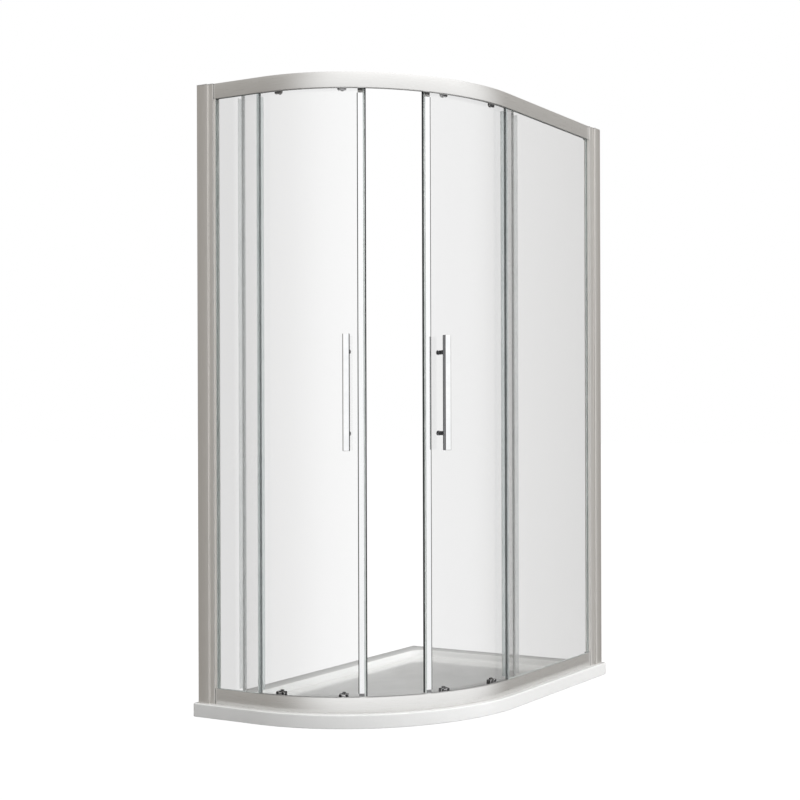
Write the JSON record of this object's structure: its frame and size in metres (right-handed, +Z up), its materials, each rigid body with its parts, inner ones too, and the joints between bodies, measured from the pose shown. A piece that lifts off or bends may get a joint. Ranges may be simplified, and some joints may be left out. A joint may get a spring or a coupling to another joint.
{
  "type": "quadrant shower enclosure",
  "caption": "Offset quadrant shower enclosure: low tray, framed fixed glass at two walls and two curved glass doors that slide round the bend and meet in the middle.",
  "frame": {"origin": "centre of the tray rectangle, on the floor", "axes": "+Z up; the long wall is on the -X side, the short wall on the +Y side, the rounded corner points to +X and -Y"},
  "size_m": [0.8, 1.2, 1.89],
  "materials": {
    "stone_resin": "smooth white gel coat",
    "satin_aluminium": "bright satin anodised",
    "clear_glass": "clear toughened, polished edges",
    "polished_chrome": "polished",
    "zinc_screw": "plated",
    "black_plastic": "moulded, fine texture",
    "wheel_nylon": "turned nylon tread",
    "black_rubber": "soft matte",
    "clear_seal": "translucent flexible",
    "grey_plastic": "moulded satin"
  },
  "bodies": {
    "frame": {"shower_tray": "stone_resin", "bottom_rail": "satin_aluminium", "top_rail": "satin_aluminium", "rail_corner_blocks": "black_plastic", "rail_screws": "zinc_screw", "adjusting_screws": "zinc_screw", "adjusting_screw_caps": "grey_plastic", "frame_top_caps": "grey_plastic", "bottom_infill_strip": "satin_aluminium", "top_infill_strip": "satin_aluminium", "track_bump_stops": "black_rubber", "wall_profile_left": "satin_aluminium", "side_post_left": "satin_aluminium", "fixed_glass_left": "clear_glass", "glazing_gaskets_left": "clear_seal", "fixed_edge_seal_left": "clear_seal", "wall_profile_right": "satin_aluminium", "side_post_right": "satin_aluminium", "fixed_glass_right": "clear_glass", "glazing_gaskets_right": "clear_seal", "fixed_edge_seal_right": "clear_seal"},
    "door_left": {"door_glass_left": "clear_glass", "leading_profile_left": "polished_chrome", "leading_caps_left": "grey_plastic", "magnet_seal_left": "black_rubber", "trailing_seal_left": "clear_seal", "door_handle_left": "polished_chrome", "handle_fixings_left": "polished_chrome", "top_hangers_left": "polished_chrome", "hanger_clamps_left": "black_plastic", "carrier_plates_left": "polished_chrome", "carrier_screws_left": "black_plastic", "carrier_housings_left": "black_plastic"},
    "door_right": {"door_glass_right": "clear_glass", "leading_profile_right": "polished_chrome", "leading_caps_right": "grey_plastic", "magnet_seal_right": "black_rubber", "trailing_seal_right": "clear_seal", "door_handle_right": "polished_chrome", "handle_fixings_right": "polished_chrome", "top_hangers_right": "polished_chrome", "hanger_clamps_right": "black_plastic", "carrier_plates_right": "polished_chrome", "carrier_screws_right": "black_plastic", "carrier_housings_right": "black_plastic"},
    "top_wheel_left_lead": {"top_wheel_left_lead": "wheel_nylon"},
    "release_slide_left_lead": {"release_slide_left_lead": "black_plastic"},
    "bottom_wheel_left_lead": {"bottom_wheel_left_lead": "wheel_nylon"},
    "top_wheel_left_trail": {"top_wheel_left_trail": "wheel_nylon"},
    "release_slide_left_trail": {"release_slide_left_trail": "black_plastic"},
    "bottom_wheel_left_trail": {"bottom_wheel_left_trail": "wheel_nylon"},
    "top_wheel_right_lead": {"top_wheel_right_lead": "wheel_nylon"},
    "release_slide_right_lead": {"release_slide_right_lead": "black_plastic"},
    "bottom_wheel_right_lead": {"bottom_wheel_right_lead": "wheel_nylon"},
    "top_wheel_right_trail": {"top_wheel_right_trail": "wheel_nylon"},
    "release_slide_right_trail": {"release_slide_right_trail": "black_plastic"},
    "bottom_wheel_right_trail": {"bottom_wheel_right_trail": "wheel_nylon"}
  },
  "joints": [
    {"name": "door_left_slide", "type": "hinge", "parent": "frame", "child": "door_left", "pos_m": [-0.15, -0.05, 0], "axis": [0, 0, 1], "range_deg": [-9.7, 10]},
    {"name": "door_right_slide", "type": "hinge", "parent": "frame", "child": "door_right", "pos_m": [-0.15, -0.05, 0], "axis": [0, 0, 1], "range_deg": [-9.2, 10.5]},
    {"name": "top_wheel_left_lead_spin", "type": "hinge", "parent": "door_left", "child": "top_wheel_left_lead", "pos_m": [0.08219, -0.50374, 1.868], "axis": [0.4555, -0.8902, 0], "continuous": true},
    {"name": "release_left_lead_press", "type": "slide", "parent": "door_left", "child": "release_slide_left_lead", "axis": [0, 0, -1], "range_m": [0, 0.004], "stiffness_N_per_m": 800, "springref_m": -0.004},
    {"name": "bottom_wheel_left_lead_spin", "type": "hinge", "parent": "release_slide_left_lead", "child": "bottom_wheel_left_lead", "pos_m": [0.08219, -0.50374, 0.062], "axis": [0.4555, -0.8902, 0], "continuous": true},
    {"name": "top_wheel_left_trail_spin", "type": "hinge", "parent": "door_left", "child": "top_wheel_left_trail", "pos_m": [-0.10912, -0.55806, 1.868], "axis": [0.0802, -0.9968, 0], "continuous": true},
    {"name": "release_left_trail_press", "type": "slide", "parent": "door_left", "child": "release_slide_left_trail", "axis": [0, 0, -1], "range_m": [0, 0.004], "stiffness_N_per_m": 800, "springref_m": -0.004},
    {"name": "bottom_wheel_left_trail_spin", "type": "hinge", "parent": "release_slide_left_trail", "child": "bottom_wheel_left_trail", "pos_m": [-0.10912, -0.55806, 0.062], "axis": [0.0802, -0.9968, 0], "continuous": true},
    {"name": "top_wheel_right_lead_spin", "type": "hinge", "parent": "door_right", "child": "top_wheel_right_lead", "pos_m": [0.30046, -0.2885, 1.868], "axis": [0.8838, -0.4679, 0], "continuous": true},
    {"name": "release_right_lead_press", "type": "slide", "parent": "door_right", "child": "release_slide_right_lead", "axis": [0, 0, -1], "range_m": [0, 0.004], "stiffness_N_per_m": 800, "springref_m": -0.004},
    {"name": "bottom_wheel_right_lead_spin", "type": "hinge", "parent": "release_slide_right_lead", "child": "bottom_wheel_right_lead", "pos_m": [0.30046, -0.2885, 0.062], "axis": [0.8838, -0.4679, 0], "continuous": true},
    {"name": "top_wheel_right_trail_spin", "type": "hinge", "parent": "door_right", "child": "top_wheel_right_trail", "pos_m": [0.35744, -0.09797, 1.868], "axis": [0.9956, -0.0941, 0], "continuous": true},
    {"name": "release_right_trail_press", "type": "slide", "parent": "door_right", "child": "release_slide_right_trail", "axis": [0, 0, -1], "range_m": [0, 0.004], "stiffness_N_per_m": 800, "springref_m": -0.004},
    {"name": "bottom_wheel_right_trail_spin", "type": "hinge", "parent": "release_slide_right_trail", "child": "bottom_wheel_right_trail", "pos_m": [0.35744, -0.09797, 0.062], "axis": [0.9956, -0.0941, 0], "continuous": true}
  ],
  "couplings": [
    {"joint": "top_wheel_left_lead_spin", "follows": "door_left_slide", "ratio": -47.636},
    {"joint": "bottom_wheel_left_lead_spin", "follows": "door_left_slide", "ratio": 47.636},
    {"joint": "top_wheel_left_trail_spin", "follows": "door_left_slide", "ratio": -47.636},
    {"joint": "bottom_wheel_left_trail_spin", "follows": "door_left_slide", "ratio": 47.636},
    {"joint": "top_wheel_right_lead_spin", "follows": "door_right_slide", "ratio": -47.636},
    {"joint": "bottom_wheel_right_lead_spin", "follows": "door_right_slide", "ratio": 47.636},
    {"joint": "top_wheel_right_trail_spin", "follows": "door_right_slide", "ratio": -47.636},
    {"joint": "bottom_wheel_right_trail_spin", "follows": "door_right_slide", "ratio": 47.636}
  ]
}
